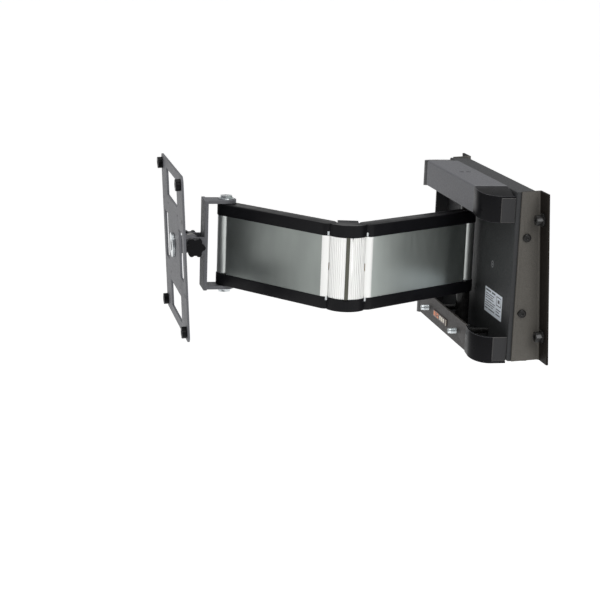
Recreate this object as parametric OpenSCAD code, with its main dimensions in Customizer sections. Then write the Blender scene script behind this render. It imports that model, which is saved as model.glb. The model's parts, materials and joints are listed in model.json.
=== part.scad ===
// Full motion television wall mount: a wall unit, two links joined by a geared elbow, and a tilting head.
// X runs along the wall, Y into the wall and Z up. The origin is the middle of the wall unit, on the wall.

/* [Wall unit] */
// Height of the two side cheeks
cheek_h = 227; // [200:1:280]
// Depth of a cheek at its top
cheek_top_depth = 26.5; // [24:0.5:32]
// Depth of a cheek at its bottom
cheek_bottom_depth = 40.6; // [36:0.5:48]
// Thickness of the cheek and flange sheet
cheek_t = 3; // [2:0.5:4]
// Width of a wall flange beside its cheek
flange_w = 30; // [24:1:40]
// Distance between the upper and the lower wall bolts
bolt_rows = 156; // [120:1:190]
// Radius of the wall bolt holes
wall_hole_r = 4.5; // [3.5:0.25:5.5]
// Length of the bolt stubs behind the wall flanges
bolt_in_wall = 4; // [3:1:40]
// Height of a wall tie bar
tie_h = 30; // [20:1:34]

/* [Chassis] */
// Width of the chassis between the cheeks
chassis_w = 306; // [280:1:360]
// Angle by which the chassis leans back at the top
lean = 3.5; // [2.5:0.1:4.5]
// Distance from the wall to the front of the face plate
face_out = 39.4; // [37:0.2:42]
// Depth of the folded edges of the face plate
fold_depth = 27.9; // [20:0.1:30]
// Height of the face plate's top above the middle
face_top = 111; // [104:0.5:112]
// Depth of the face plate's bottom below the middle
face_bottom = 116; // [110:0.5:118]
// Thickness of the chassis sheet
sheet_t = 3; // [2:0.5:4]

/* [Brackets] */
// Distance from the wall to the front of the brackets
bracket_out = 85; // [80:1:100]
// Width of the flat front of the brackets
bracket_w = 224; // [180:1:240]
// Height of the upper bracket's front
bridge_h = 35.5; // [28:0.5:38]
// Height of the upper bracket's top above the top of the face plate
bridge_rise = 1.5; // [0:0.5:2]
// Height of the lower bracket's front
tray_h = 37; // [30:1:42]
// Height of the lower bracket's bottom above the bottom of the face plate
tray_rise = 3.4; // [2:0.2:6]
// How far the rounded corner covers slope down to their ends
cover_drop = 7; // [3:0.5:8]
// How far the top of the upper far cover slopes down
far_top_drop = 3.5; // [2:0.5:7]
// Radius of the rounded corner covers
cover_r = 26; // [20:1:30]
// Spacing of the two jack screws
jack_spacing = 136; // [100:1:160]
// Radius of a jack screw
jack_r = 4; // [3:0.5:5]

/* [Arm] */
// Distance between the two pivots of the rear link
rear_link_len = 194; // [170:1:230]
// Distance between the two pivots of the front link
front_link_len = 184; // [170:1:230]
// Thickness of a link beam
link_t = 22; // [20:0.5:26]
// Height of the bare part of a link beam
beam_h = 82; // [70:1:90]
// Height of the black cap on each edge of a link
cap_h = 16.5; // [15:0.5:19]
// How far a cap stands proud of the beam on each side
cap_proud = 1; // [0.5:0.25:2]
// Height of the arm's middle above the middle of the wall unit
arm_z = 2; // [-4:0.5:4]
// Wall of the beam extrusion
beam_wall = 2.8; // [2:0.1:3.5]
// Distance from the wall to the shoulder axis
shoulder_out = 54.4; // [54:0.2:62]
// Sideways place of the shoulder axis
shoulder_x = -5.1; // [-8:0.1:8]
// Radius of the shoulder and wrist shafts
shaft_r = 6; // [5:0.25:7]
// Angle of the rear link from straight out
shoulder_angle = 30.7; // [20:0.1:45]
// Angle by which each elbow pivot is bent
elbow_bend = 41.45; // [30:0.05:50]

/* [Elbow] */
// Distance between the two elbow pivots
knuckle_len = 53; // [51:0.5:60]
// How far the outer side of the knuckle bulges from the pivot line
knuckle_bulge = 27; // [25:0.5:30]
// Radius of the elbow shafts
elbow_shaft_r = 5; // [4:0.25:5]
// Radius of the idler gear shafts
idler_shaft_r = 3; // [2:0.25:3.5]
// Teeth of each elbow gear
gear_teeth = 14; // [13:1:16]
// Height of the elbow gears
gear_h = 9.4; // [6:0.2:12]
// Backlash between the gear teeth
gear_backlash = 0.5; // [0.3:0.05:0.6]
// Ribs on each half of the knuckle shell
rib_count = 9; // [6:1:10]

/* [Head] */
// Distance from the wrist axis to the tilt axis
tilt_reach = 46; // [44:1:56]
// Radius of the tilt pin
tilt_pin_r = 5; // [4:0.25:6]
// Width and height of the screen plate
plate_size = 224; // [222:1:240]
// Wide hole spacing of the screen plate
hole_wide = 200; // [190:1:200]
// Narrow hole spacing of the screen plate
hole_narrow = 100; // [95:1:110]
// Thickness of the screen plate
plate_t = 3; // [2:0.5:4]
// Length of the spacers between the plate and the screen
spacer_len = 7; // [6:0.5:12]

/* [Fits] */
// Running clearance on the radius of a shaft
run_gap = 0.05; // [0.03:0.01:0.08]
// Gap between pieces that move past each other
move_gap = 0.3; // [0.25:0.05:0.5]
// Gap between the chassis and a cheek
side_gap = 0.5; // [0.4:0.1:1]

/* [Hidden] */
$fn = 64;

// Colours
coat = [0.22, 0.22, 0.23];
coat_brown = [0.31, 0.30, 0.28];
gloss_black = [0.05, 0.05, 0.06];
cap_black = [0.07, 0.07, 0.08];
alu = [0.62, 0.66, 0.63];
steel = [0.75, 0.77, 0.78];
brass = [0.78, 0.65, 0.35];
nylon = [0.85, 0.85, 0.80];

// Wall unit
big = 1000;
cheek_in = chassis_w / 2 + side_gap;
cheek_out = cheek_in + cheek_t;
wall_half_w = cheek_out + flange_w;
bolt_x = cheek_out + flange_w / 2;
bolt_head_r = 7.5;
bolt_head_h = 9;
washer_r = 9;
washer_t = 2.4;
side_screw_r = 3;
side_head_r = 5.5;
side_head_h = 3.3;
pivot_y = -20.5;
pivot_z = 52.6;
clamp_y = -26.6;
clamp_z = -48.8;
clamp_radius = norm([clamp_y - pivot_y, clamp_z - pivot_z]);
level_travel = 1.5;
slot_half = clamp_radius * sin(level_travel) + move_gap;
side_nut_af_r = 5.8;
side_nut_h = 5;
shank_len = side_nut_h + sheet_t + cheek_t + 0.2;
wall_stub_r = wall_hole_r - move_gap;
wall_neck_r = wall_hole_r - 0.7;
socket_r = 2.2;
tie_z = 78;

// Brackets
bridge_top = face_top + bridge_rise;
tray_bottom = face_bottom - tray_rise;
flare_x = chassis_w / 2 - sheet_t;
cover_gap = 0.2;
cover_front = bracket_w / 2 + cover_gap;
cover_t = 2.5;
cover_c = [flare_x - cover_r, cover_r - bracket_out];
upper_cover_z = [bridge_top - bridge_h, bridge_top - 0.6];
lower_cover_z = [-tray_bottom, tray_h - 1.5 - tray_bottom];
end_plate_t = 3;
end_plate_gap = 0.5;
end_plate_clear = 1;
upper_end_z = [upper_cover_z[0] - cover_drop, upper_cover_z[1] - cover_drop - cover_t - cover_gap];
lower_end_z = [lower_cover_z[0] - cover_drop + cover_t + end_plate_clear, lower_cover_z[1] - cover_drop];
shaft_plate_t = 5;
shaft_plate_w = 90;
shaft_plate_z = bridge_top - bridge_h;
shaft_foot_r = 13;
shaft_foot_h = 4;
spacer_r = 9.5;
jack_z = sheet_t / 2 - 96.5;
jack_stand_out = 11;
jack_back = 8;
socket_depth = 3;
bracket_hole_x = -8;
bracket_hole_out = [56, 66];
bracket_hole_r = 4.2;
tray_hole = [-34, -64];
tray_hole_r = 8;
badge = [66, 1.2, 9.5];
badge_x = -6;
label = [72, 0.3, 34];
label_x = 85.5;
label_z = -53.5;

// Arm
half_beam = beam_h / 2;
half_arm = half_beam + cap_h;
half_t = link_t / 2;
cap_r = half_t + cap_proud;
beam_start = 13.7;
tongue_end = 42;
tongue_gap = 0.2;
bush_wall = 2;
bush_h = 12;
plate_level = half_beam + move_gap;
knuckle_plate_t = 5;
knuckle_plate_r = 9;
cap_skin = 3.5;
cap_wall = 3;
rear_a = shoulder_angle;
knuckle_a = shoulder_angle - elbow_bend;
front_a = shoulder_angle - 2 * elbow_bend;
function out_dir(a) = [sin(a), -cos(a)];
shoulder_p = [shoulder_x, -shoulder_out];
elbow_rear_p = shoulder_p + rear_link_len * out_dir(rear_a);
elbow_front_p = elbow_rear_p + knuckle_len * out_dir(knuckle_a);
wrist_p = elbow_front_p + front_link_len * out_dir(front_a);

// Elbow gears: four equal gears between the two pivots
gear_pitch_r = knuckle_len / 6;
gear_module = 2 * gear_pitch_r / gear_teeth;
gear_tip_r = gear_pitch_r + 0.9 * gear_module;
gear_root_r = gear_pitch_r - 1.2 * gear_module;
gear_base_r = gear_pitch_r * cos(20);
window_half = 36;
odd_teeth = gear_teeth % 2;
gap_turn = 180 - 180 / gear_teeth;
front_idler_turn = odd_teeth == 1 ? gap_turn : 180;
front_gear_turn = gap_turn;
knuckle_chord = knuckle_len / 2 - 2;
knuckle_rise = knuckle_bulge - cap_r - move_gap;
knuckle_R = (pow(knuckle_chord, 2) + pow(knuckle_rise, 2)) / (2 * knuckle_rise);
knuckle_c = [knuckle_len / 2, knuckle_bulge - knuckle_R];
clear_r = cap_r + 0.5;
inner_half = knuckle_len / 2 - clear_r - 0.3;
inner_depth = 13.7;
shell_inset = 0.8;
shell_t = 3;
rib_r = 1.1;
seam_w = 3.6;

// Head
yoke_t = 5;
yoke_half_h = half_arm + move_gap + yoke_t;
yoke_w = 40;
yoke_round = 14;
web_out = 27;
ear_t = 5;
ear_in = 15;
ear_r = 12;
tilt_washer_t = 1.5;
hub_half = ear_in - tilt_washer_t - 0.3;
hub_r = 11;
hub_neck = 20;
hub_disc_r = 28;
hub_disc_y = 18;
hub_disc_t = 4;
stub_r = 8;
plate_y = hub_disc_y + hub_disc_t + 0.4;
nut_r = 17;
nut_h = 4;
plate_hole_r = 3.2;
small_hole_r = 2.2;
plate_spacer_r = 8;
side_window = [34, 67];
side_window_x = 77;
end_window = [109, 38];
end_window_z = 80;
corner_cut = 8;
yoke_washer_t = 1.5;
yoke_washer_r = 11;
wrist_head_r = 9;
wrist_head_h = 3.5;
lobe_r = 4;
knob_r = 14;
knob_h = 13;

// Places the children in the leaning frame of the chassis and the arm.
module leaned() {
    rotate([-lean, 0, 0]) children();
}

// Places the children at a pivot of the arm, with +X along a link at this angle from straight out.
module arm_at(p, a) {
    leaned() translate([p.x, p.y, arm_z]) rotate([0, 0, a - 90]) children();
}

// Places the children on the front link, which runs from the wrist to the elbow and bends the other way.
module front_link() {
    arm_at(wrist_p, front_a + 180) mirror([0, 1, 0]) children();
}

// Places the children at the tilt axis, square to the wall.
module head_at() {
    tilt_y = wrist_p.y - tilt_reach;
    translate([wrist_p.x, tilt_y * cos(lean) + arm_z * sin(lean), arm_z * cos(lean) - tilt_y * sin(lean)])
        children();
}

// A cylinder along X, from x0 over this length.
module x_rod(r, x0, len) {
    translate([x0, 0, 0]) rotate([0, 90, 0]) cylinder(r = r, h = len);
}

// A cylinder pointing out of the wall, from depth y0 over this length.
module out_rod(r, y0, len) {
    translate([0, y0, 0]) rotate([90, 0, 0]) cylinder(r = r, h = len);
}

// A block from its two corners.
module block(a, b) {
    translate(a) cube(b - a);
}

// ---------- Wall unit ----------

// One pressed side bracket: a tapered cheek with a flange against the wall.
module cheek(side) {
    half_h = cheek_h / 2;
    color(coat_brown) mirror([side < 0 ? 1 : 0, 0, 0]) difference() {
        union() {
            translate([cheek_in, 0, 0]) rotate([90, 0, 90]) linear_extrude(cheek_t)
                polygon([[0, -half_h], [0, half_h], [-cheek_top_depth, half_h], [-cheek_bottom_depth, -half_h]]);
            block([cheek_in, -cheek_t, -half_h], [wall_half_w, 0, half_h]);
        }
        for (z = [-bolt_rows / 2, bolt_rows / 2])
            translate([bolt_x, 0, z]) out_rod(wall_hole_r, 1, cheek_t + 2);
        translate([0, pivot_y, pivot_z]) x_rod(side_screw_r + run_gap, cheek_in - 1, cheek_t + 2);
        translate([0, clamp_y, clamp_z]) clamp_slot();
    }
}

// The short slot that the clamp screw moves in when the lean is set.
module clamp_slot() {
    slot_r = side_screw_r + move_gap;
    slot_turn = atan2(clamp_y - pivot_y, pivot_z - clamp_z);
    rotate([slot_turn, 0, 0]) {
        for (y = [-slot_half, slot_half])
            translate([0, y, 0]) x_rod(slot_r, cheek_in - 1, cheek_t + 2);
        block([cheek_in - 1, -slot_half, -slot_r], [cheek_out + 1, slot_half, slot_r]);
    }
}

// A flat bar on the wall that ties the two cheeks together.
module tie_bar(z) {
    color(coat) block([-cheek_in, -cheek_t, z - tie_h / 2], [cheek_in, 0, z + tie_h / 2]);
}

// The four bolts that hold the flanges, with a stub of each shank behind.
module wall_bolts() {
    color(gloss_black)
        for (x = [-bolt_x, bolt_x], z = [-bolt_rows / 2, bolt_rows / 2])
            translate([x, 0, z]) wall_bolt();
}

module wall_bolt() {
    difference() {
        union() {
            out_rod(wall_neck_r, 0, cheek_t + washer_t);
            out_rod(wall_stub_r, bolt_in_wall, bolt_in_wall);
            out_rod(washer_r, -cheek_t, washer_t);
            translate([0, -cheek_t - washer_t, 0]) rotate([90, 0, 0])
                cylinder(r = bolt_head_r, h = bolt_head_h, $fn = 6);
        }
        translate([0, -cheek_t - washer_t - bolt_head_h / 2, 0]) rotate([90, 0, 0])
            cylinder(r = bolt_head_r / 2, h = bolt_head_h, $fn = 6);
    }
}

// A button head screw through a cheek into the chassis side, with its nut inside.
module side_screw(shank) {
    x_rod(side_screw_r, cheek_in - sheet_t - side_nut_h, shank);
    difference() {
        x_rod(side_head_r, cheek_out + 0.1, side_head_h);
        translate([cheek_out + side_head_h / 2, 0, 0]) rotate([0, 90, 0]) 
            cylinder(r = socket_r, h = side_head_h, $fn = 6);
    }
    translate([cheek_in - side_gap - sheet_t - 0.1 - side_nut_h, 0, 0]) rotate([0, 90, 0])
        cylinder(r = side_nut_af_r, h = side_nut_h, $fn = 6);
}

// The two screws that the chassis turns on when its lean is set.
module pivot_screws() {
    color(gloss_black) for (m = [0, 1])
        mirror([m, 0, 0]) translate([0, pivot_y, pivot_z]) side_screw(shank_len);
}

// The two screws that clamp the lean.
module clamp_screws() {
    color(gloss_black) for (m = [0, 1])
        mirror([m, 0, 0]) translate([0, clamp_y, clamp_z]) side_screw(shank_len);
}

// ---------- Chassis ----------

// Cuts the two side screw holes out of the chassis sides.
module side_holes() {
    half = chassis_w / 2;
    rotate([lean, 0, 0]) for (p = [[pivot_y, pivot_z], [clamp_y, clamp_z]])
        translate([0, p[0], p[1]]) {
            x_rod(side_screw_r + run_gap, half - sheet_t - 1, sheet_t + 2);
            x_rod(side_screw_r + run_gap, -half - 1, sheet_t + 2);
        }
}

// The pressed face plate with its four folded edges.
module face_plate() {
    half = chassis_w / 2;
    back = fold_depth - face_out;
    color(coat) leaned() difference() {
        block([-half, -face_out, -face_bottom], [half, back, face_top]);
        block([sheet_t - half, sheet_t - face_out, sheet_t - face_bottom], [half - sheet_t, 1, face_top - sheet_t]);
        side_holes();
        for (x = [-jack_spacing / 2, jack_spacing / 2])
            translate([x, 0, jack_z]) out_rod(jack_r + move_gap, 0, face_out + 1);
    }
}

// The flat plate of a bracket, from its front back to the face plate.
module bracket_flat(z) {
    block([-bracket_w / 2, -bracket_out, z], [bracket_w / 2, -face_out, z + sheet_t]);
}

// The upper bracket: a top plate and a folded front.
module upper_bracket() {
    half = bracket_w / 2;
    color(coat) leaned() difference() {
        union() {
            bracket_flat(bridge_top - sheet_t);
            block([-half, -bracket_out, bridge_top - bridge_h], [half, sheet_t - bracket_out, bridge_top]);
        }
        for (y = -bracket_hole_out) translate([bracket_hole_x, y, bridge_top - 2 * sheet_t])
            cylinder(r = bracket_hole_r, h = 3 * sheet_t);
        bend_cut(half, bridge_top, 1);
    }
}

// Rounds the outside of the fold along a bracket's front edge.
module bend_cut(half, z, up) {
    bend_r = 2.6;
    translate([-half - 1, -bracket_out, z]) mirror([0, 0, up > 0 ? 0 : 1]) difference() {
        translate([0, -1, -bend_r]) cube([2 * half + 2, bend_r + 1, bend_r + 1]);
        translate([0, bend_r, -bend_r]) rotate([0, 90, 0]) cylinder(r = bend_r, h = 2 * half + 2);
    }
}

// The lower bracket: an open tray with a bottom and a folded front.
module lower_bracket() {
    half = bracket_w / 2;
    color(coat) leaned() difference() {
        union() {
            bracket_flat(-tray_bottom);
            block([-half, -bracket_out, -tray_bottom], [half, sheet_t - bracket_out, tray_h - tray_bottom]);
        }
        for (x = [-jack_spacing / 2, jack_spacing / 2])
            translate([x, 0, jack_z]) out_rod(jack_r + run_gap, 1 - bracket_out + sheet_t, sheet_t + 2);
        translate([tray_hole.x, tray_hole.y, -tray_bottom - 1]) cylinder(r = tray_hole_r, h = sheet_t + 2);
        translate([shoulder_p.x, shoulder_p.y, -tray_bottom - 1]) cylinder(r = shaft_r, h = sheet_t + 2);
        bend_cut(half, -tray_bottom, -1);
    }
}

// The upright column that a corner cover is cut from, or the room inside it.
module cover_plan(inset) {
    low = -face_bottom - 2 * cover_drop;
    high = face_top + 2 * cover_drop;
    translate([cover_c.x, cover_c.y, low]) cylinder(r = cover_r - inset, h = high - low);
    block([cover_front - inset, inset - bracket_out, low], [cover_c.x, cover_c.y, high]);
    block([cover_front - inset, cover_c.y, low], [flare_x - inset, -face_out, high]);
    if (inset > 0) block([cover_front - inset, cover_c.y + cover_gap, low], [flare_x + inset, -face_out, high]);
}

// The sloping slab between two heights that a corner cover lies in.
module cover_slope(z0, z1, more, top_drop) {
    wide = flare_x - cover_front;
    x = [cover_front - more, flare_x + more];
    low = [more * cover_drop / wide, -cover_drop - more * cover_drop / wide];
    high = [more * top_drop / wide, -top_drop - more * top_drop / wide];
    translate([0, -face_out - cover_gap + more, 0]) rotate([90, 0, 0])
        linear_extrude(bracket_out - face_out + 2 * more)
            polygon([[x[0], z0 + low[0]], [x[1], z0 + low[1]], [x[1], z1 + high[1]], [x[0], z1 + high[0]]]);
}

// A rounded cover over the end of a bracket, closed on top (up = 1) or at the bottom (up = -1).
module corner_cover(side, zz, up, top_drop) {
    color(gloss_black) leaned() mirror([side < 0 ? 1 : 0, 0, 0]) difference() {
        intersection() {
            cover_plan(0);
            cover_slope(zz[0], zz[1], 0, top_drop);
        }
        intersection() {
            cover_plan(cover_t);
            cover_slope(zz[0] - up * cover_t, zz[1] - up * cover_t, cover_t, top_drop);
        }
    }
}

// The flat steel plates at the ends of the brackets: two at the near end, one long one at the far end.
module bracket_end_plates() {
    color(coat) leaned() {
        for (zz = [upper_end_z, lower_end_z])
            block([flare_x - end_plate_t, cover_c.y + end_plate_gap, zz[0]], [flare_x, -face_out, zz[1]]);
        block([-flare_x, cover_c.y + end_plate_gap, lower_end_z[0]],
              [end_plate_t - flare_x, -face_out, upper_end_z[1]]);
    }
}

// The plate inside the upper bracket that holds the top of the shaft.
module shaft_plate() {
    color(coat) leaned() difference() {
        block([-shaft_plate_w / 2, sheet_t - bracket_out, shaft_plate_z],
              [shaft_plate_w / 2, -face_out, shaft_plate_z + shaft_plate_t]);
        translate([shoulder_p.x, shoulder_p.y, shaft_plate_z - 1]) cylinder(r = shaft_r, h = shaft_plate_t + 2);
    }
}

// The shoulder shaft with its foot on the bottom of the lower bracket.
module shoulder_shaft() {
    foot_z = sheet_t - tray_bottom;
    color(steel) leaned() translate([shoulder_p.x, shoulder_p.y, 0]) {
        translate([0, 0, -tray_bottom]) cylinder(r = shaft_r, h = tray_bottom + shaft_plate_z + shaft_plate_t);
        translate([0, 0, foot_z]) cylinder(r = shaft_foot_r, h = shaft_foot_h);
        translate([0, 0, shaft_plate_z + shaft_plate_t]) cylinder(r = shaft_foot_r - 3, h = 3);
    }
}

// The two spacers that carry the link between the brackets.
module shoulder_spacers() {
    foot_top = sheet_t + shaft_foot_h - tray_bottom;
    color(steel) leaned() translate([shoulder_p.x, shoulder_p.y, 0]) {
        shaft_tube(foot_top, arm_z - half_arm - move_gap);
        shaft_tube(arm_z + half_arm + move_gap, shaft_plate_z);
    }
}

module shaft_tube(z0, z1) {
    translate([0, 0, z0]) difference() {
        cylinder(r = spacer_r, h = z1 - z0);
        translate([0, 0, -1]) cylinder(r = shaft_r, h = z1 - z0 + 2);
    }
}

// A jack screw through the front of the lower bracket.
module jack_screw(x) {
    color(steel) leaned() translate([x, 0, jack_z]) difference() {
        out_rod(jack_r, -jack_back, bracket_out + jack_stand_out - jack_back);
        translate([0, socket_depth - bracket_out - jack_stand_out, 0]) rotate([90, 0, 0])
            cylinder(r = socket_r, h = socket_depth + 2, $fn = 6);
    }
}

// A small plain badge on the front of the lower bracket.
module badge_plate() {
    color(gloss_black) leaned()
        translate([badge_x - badge.x / 2, -bracket_out - badge.y, jack_z - badge.z / 2]) cube(badge);
}

// A plain rating label on the face plate.
module rating_label() {
    color("white") leaned()
        translate([label_x - label.x / 2, -face_out - label.y, label_z - label.z / 2]) cube(label);
}

// ---------- Links ----------

// The solid outline of a link between two pivots: straight sides and round ends.
module stadium(r, len, h) {
    translate([0, 0, -h / 2]) {
        cylinder(r = r, h = h);
        translate([len, 0, 0]) cylinder(r = r, h = h);
        translate([0, -r, 0]) cube([len, 2 * r, h]);
    }
}

// The room that a piece on the knuckle sweeps at a link's end, from straight to folded.
module swept(r, half_angle, h, far) {
    translate([0, 0, -h / 2]) {
        cylinder(r = r, h = h);
        intersection() {
            cylinder(r = far, h = h);
            linear_extrude(h) polygon(concat([[0, 0]],
                [for (i = [0:4]) let (a = half_angle - i * (90 + 2 * half_angle) / 4) 2 * far * [cos(a), sin(a)]]));
        }
    }
}

// The room that a knuckle plate sweeps at a link's end.
module plate_room(h) {
    r = knuckle_plate_r + move_gap;
    swept(r, 0, h, 2 * link_t);
    for (a = [0, -90]) rotate([0, 0, a]) translate([0, -r, -h / 2]) cube([2 * link_t, 2 * r, h]);
}

// The aluminium beam, hollow, with a round end at the elbow.
module beam(len) {
    inner = half_t - beam_wall;
    color(alu) difference() {
        union() {
            block([beam_start, -half_t, -half_beam], [len, half_t, half_beam]);
            translate([len, 0, -half_beam]) cylinder(r = half_t, h = beam_h);
        }
        block([beam_start - 1, -inner, -half_beam + beam_wall], [tongue_end, inner, half_beam - beam_wall]);
        for (z = [-1:1]) let (room = (beam_h - 4 * beam_wall) / 3)
            translate([0, 0, z * (room + beam_wall)])
                block([tongue_end - 1, -inner, -room / 2], [len - 1.9 * half_t, inner, room / 2]);
        translate([len, 0, -half_beam - 1]) cylinder(r = elbow_shaft_r + bush_wall, h = beam_h + 2);
        translate([len, 0, 0]) swept(gear_tip_r + 0.3, window_half, gear_h + 2 * move_gap, 2 * link_t);
    }
}

// The black cap along one edge of a link, with room at the elbow for the knuckle plate.
module link_cap(len) {
    inner = cap_r - cap_wall;
    room_h = 2 * (knuckle_plate_t + 3 * move_gap);
    color(cap_black) difference() {
        translate([0, 0, half_beam + cap_h / 2]) stadium(cap_r, len, cap_h);
        block([shaft_r + spacer_r, -inner, half_beam - 1], [len - 2 * cap_r, inner, half_arm - cap_skin]);
        translate([0, 0, half_beam - 1]) cylinder(r = shaft_r + move_gap, h = cap_h + 2);
        translate([len, 0, half_beam]) plate_room(room_h);
    }
}

// The turned barrel on a link's shaft end, with a tongue inside the beam.
module shaft_barrel() {
    inner = half_t - beam_wall - tongue_gap;
    tongue_h = beam_h - 2 * beam_wall - 2 * tongue_gap;
    color(alu) difference() {
        union() {
            translate([0, 0, -half_beam]) cylinder(r = half_t, h = beam_h);
            block([0, -inner, -tongue_h / 2], [tongue_end - 2, inner, tongue_h / 2]);
        }
        translate([0, 0, -half_beam - 1]) cylinder(r = shaft_r + run_gap, h = beam_h + 2);
    }
}

// The plastic bushes in a link's elbow bore.
module elbow_bushes(len) {
    color(nylon) for (z = [-half_beam, half_beam - bush_h])
        translate([len, 0, z]) difference() {
            cylinder(r = elbow_shaft_r + bush_wall, h = bush_h);
            translate([0, 0, -1]) cylinder(r = elbow_shaft_r + run_gap, h = bush_h + 2);
        }
}

// Involute angle at this radius of a gear with this base radius, in degrees.
function inv_deg(r, rb) = let (a = acos(rb / r)) tan(a) * 180 / PI - a;

// One elbow gear, with a tooth centred on +X.
module spur_gear(bore_r) {
    half_at_pitch = 90 / gear_teeth - gear_backlash / 4 / gear_pitch_r * 180 / PI;
    flank_r0 = max(gear_base_r, gear_root_r + 0.05);
    steps = 5;
    flank = [for (i = [0:steps]) let (r = flank_r0 + (gear_tip_r - flank_r0) * i / steps)
        [r, half_at_pitch + inv_deg(gear_pitch_r, gear_base_r) - inv_deg(r, gear_base_r)]];
    points = [for (t = [0:gear_teeth - 1]) let (mid = t * 360 / gear_teeth)
        for (p = concat([[gear_root_r, -flank[0][1]]], [for (f = flank) [f[0], -f[1]]],
                        [for (i = [steps:-1:0]) flank[i]], [[gear_root_r, flank[0][1]]]))
            p[0] * [cos(mid + p[1]), sin(mid + p[1])]];
    difference() {
        translate([0, 0, -gear_h / 2]) linear_extrude(gear_h) polygon(points);
        translate([0, 0, -gear_h / 2 - 1]) cylinder(r = bore_r, h = gear_h + 2);
    }
}

// ---------- Knuckle ----------

// Plan of the knuckle: a round bulge outside, a narrow block inside, hollowed for the link ends.
module knuckle_plan(h, inset) {
    r = knuckle_R - inset;
    difference() {
        union() {
            intersection() {
                translate([knuckle_c.x, knuckle_c.y, 0]) cylinder(r = r, h = h);
                block([-big, 0, 0], [big, big, h]);
            }
            block([knuckle_c.x - inner_half + inset, -inner_depth + inset, 0],
                  [knuckle_c.x + inner_half - inset, 1, h]);
        }
        for (x = [0, knuckle_len]) translate([x, 0, -1]) cylinder(r = clear_r, h = h + 2);
    }
}

// The black cap on the knuckle's edge, with a notch over the seam.
module knuckle_cap() {
    room_r = knuckle_plate_r + move_gap;
    color(cap_black) difference() {
        translate([0, 0, plate_level]) knuckle_plan(half_arm - plate_level, 0);
        translate([0, -room_r, plate_level - 1]) cube([knuckle_len, 2 * room_r, knuckle_plate_t + 1]);
        block([knuckle_c.x - seam_w, knuckle_bulge - 2, plate_level - 1],
              [knuckle_c.x + seam_w, knuckle_bulge + 1, plate_level + 2.2]);
    }
}

// One half of the ribbed outer shell of the knuckle.
module knuckle_shell(side) {
    r = knuckle_R - shell_inset;
    shell_half = half_beam;
    span = asin(knuckle_chord / knuckle_R) - 1;
    seam_angle = asin((seam_w / 2 + 0.1) / r);
    step = (span - seam_angle) / rib_count;
    color(alu) translate([knuckle_c.x, knuckle_c.y, -shell_half]) mirror([side > 0 ? 0 : 1, 0, 0]) difference() {
        union() {
            cylinder(r = r - rib_r / 2, h = beam_h);
            for (i = [0:rib_count - 1]) rotate([0, 0, 90 - seam_angle - (i + 0.5) * step])
                translate([r - rib_r, 0, 0]) cylinder(r = rib_r, h = beam_h, $fn = 12);
        }
        translate([0, 0, -1]) cylinder(r = r - shell_t, h = beam_h + 2);
        block([-big, -big, -1], [r * sin(seam_angle), big, beam_h + 1]);
        rotate([0, 0, 90 - span]) block([-big, -big, -1], [big, 0, beam_h + 1]);
        block([-big, -big, -1], [big, 0, beam_h + 1]);
    }
}

// The dark strip that closes the seam between the two shell halves.
module knuckle_seam_strip() {
    color([0.25, 0.26, 0.2]) translate([knuckle_c.x - seam_w / 2, knuckle_bulge - shell_inset - shell_t, -half_beam])
        cube([seam_w, shell_t - 0.4, beam_h]);
}

// The flat cover on the inner side of the knuckle.
module knuckle_inner_cover() {
    half = inner_half - shell_inset;
    color(cap_black) translate([knuckle_c.x - half, shell_inset - inner_depth, -half_beam])
        cube([2 * half, 2, beam_h]);
}

// The two steel plates that join the elbow shafts.
module knuckle_plates() {
    color(steel) for (m = [0, 1]) mirror([0, 0, m]) difference() {
        translate([0, 0, plate_level + knuckle_plate_t / 2])
            stadium(knuckle_plate_r, knuckle_len, knuckle_plate_t);
        for (x = [0, knuckle_len]) translate([x, 0, 0]) cylinder(r = elbow_shaft_r, h = big);
        for (x = [1, 2]) translate([x * knuckle_len / 3, 0, 0]) cylinder(r = idler_shaft_r, h = big);
    }
}

module knuckle_rods(r, xs) {
    h = 2 * (plate_level + knuckle_plate_t);
    color(steel) for (x = xs) translate([x, 0, -h / 2]) cylinder(r = r, h = h);
}

// ---------- Head ----------

// The C shaped yoke on the wrist shaft, with two ears for the tilt pin.
module wrist_yoke() {
    color(coat) leaned() translate([wrist_p.x, wrist_p.y, arm_z]) difference() {
        union() {
            for (z = [yoke_half_h - yoke_t, -yoke_half_h]) translate([0, 0, z]) yoke_arm();
            block([-yoke_w / 2, -web_out - yoke_t, -yoke_half_h], [yoke_w / 2, -web_out, yoke_half_h]);
            for (m = [0, 1]) mirror([m, 0, 0]) {
                block([ear_in, -tilt_reach, -ear_r], [ear_in + ear_t, -web_out - 1, ear_r]);
                translate([0, -tilt_reach, 0]) x_rod(ear_r, ear_in, ear_t);
            }
        }
        translate([0, 0, -big / 2]) cylinder(r = shaft_r, h = big);
        translate([0, -tilt_reach, 0]) x_rod(tilt_pin_r, -big / 2, big);
    }
}

module yoke_arm() {
    cylinder(r = yoke_round, h = yoke_t);
    translate([-yoke_round, -web_out - 1, 0]) cube([2 * yoke_round, web_out + 1, yoke_t]);
}

// The wrist shaft with a head at each end.
module wrist_shaft() {
    color(steel) leaned() translate([wrist_p.x, wrist_p.y, arm_z]) {
        translate([0, 0, -yoke_half_h]) cylinder(r = shaft_r, h = 2 * yoke_half_h);
        for (m = [0, 1]) mirror([0, 0, m])
            translate([0, 0, yoke_half_h + yoke_washer_t]) cylinder(r = wrist_head_r, h = wrist_head_h, $fn = 6);
    }
}

// The washers under the heads of the wrist shaft.
module wrist_washers() {
    color(steel) leaned() translate([wrist_p.x, wrist_p.y, arm_z])
        for (m = [0, 1]) mirror([0, 0, m]) translate([0, 0, yoke_half_h])
            cylinder(r = yoke_washer_r, h = yoke_washer_t);
}

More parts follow.
